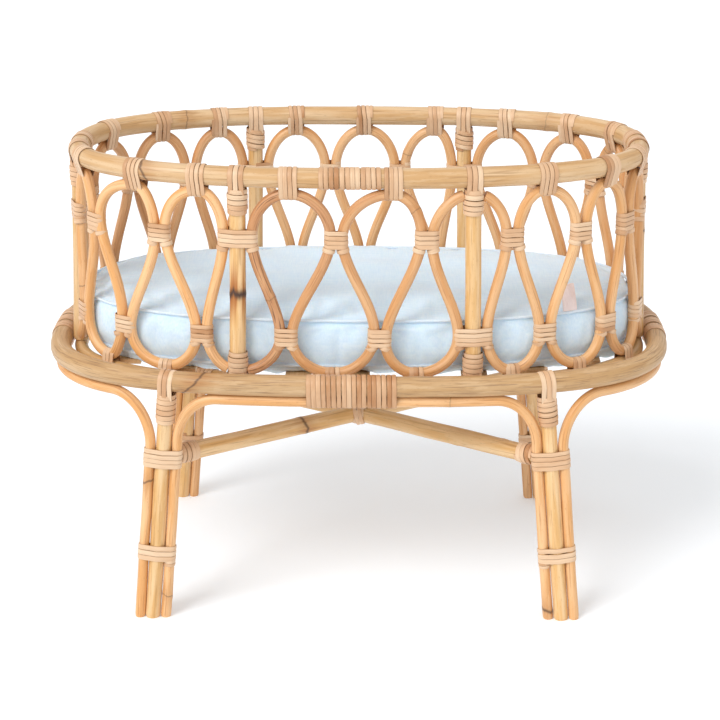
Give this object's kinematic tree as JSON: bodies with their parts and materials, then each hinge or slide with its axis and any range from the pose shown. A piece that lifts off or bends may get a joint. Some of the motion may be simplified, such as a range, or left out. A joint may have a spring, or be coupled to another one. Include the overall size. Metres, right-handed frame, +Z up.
{
  "type": "bassinet on stand",
  "caption": "Doll-size oval rattan bassinet: looped cane basket with a loose oval mattress, set in the ring of a four-legged stand with a crossed brace.",
  "frame": {"origin": "on the floor, under the middle of the stand", "axes": "+Z up, +X along the length of the basket, +Y from front to back"},
  "size_m": [0.553, 0.3136, 0.4015],
  "materials": {
    "pole_cane": "satin peeled rattan pole, clear varnish",
    "bent_cane": "satin peeled rattan core, clear varnish",
    "peel": "satin rattan peel strip",
    "mattress_cover": "plain woven cotton",
    "tag": "woven ribbon"
  },
  "bodies": {
    "frame": {"top_rim": "pole_cane", "base_ring": "pole_cane", "base_slats": "bent_cane", "post_left_end": "pole_cane", "post_front_left": "pole_cane", "post_front_right": "pole_cane", "post_right_end": "pole_cane", "post_back_right": "pole_cane", "post_back_left": "pole_cane", "loops_front_left": "bent_cane", "loops_front": "bent_cane", "loops_front_right": "bent_cane", "loops_back_right": "bent_cane", "loops_back": "bent_cane", "loops_back_left": "bent_cane", "rim_ties": "peel", "upper_loop_ties": "peel", "lower_loop_ties": "peel", "foot_ties": "peel", "post_top_wraps": "peel", "post_foot_wraps": "peel", "rim_joint_wrap": "peel", "stand_ring": "pole_cane", "ring_front_wrap": "peel", "ring_back_wrap": "peel", "ring_end_wraps": "peel", "leg_front_left": "pole_cane", "leg_front_right": "pole_cane", "leg_back_left": "pole_cane", "leg_back_right": "pole_cane", "apron_front": "bent_cane", "apron_back": "bent_cane", "apron_left": "bent_cane", "apron_right": "bent_cane", "leg_top_wraps": "peel", "leg_upper_ties": "peel", "leg_foot_ties": "peel", "brace_rising_right": "pole_cane", "brace_rising_left": "pole_cane", "brace_crossing_tie": "peel", "brace_end_wraps": "peel"},
    "mattress": {"mattress": "mattress_cover", "mattress_tag": "tag"}
  },
  "joints": [
    {"name": "mattress_lift", "type": "slide", "parent": "frame", "child": "mattress", "axis": [0, 0, 1], "range_m": [0, 0.2]}
  ]
}
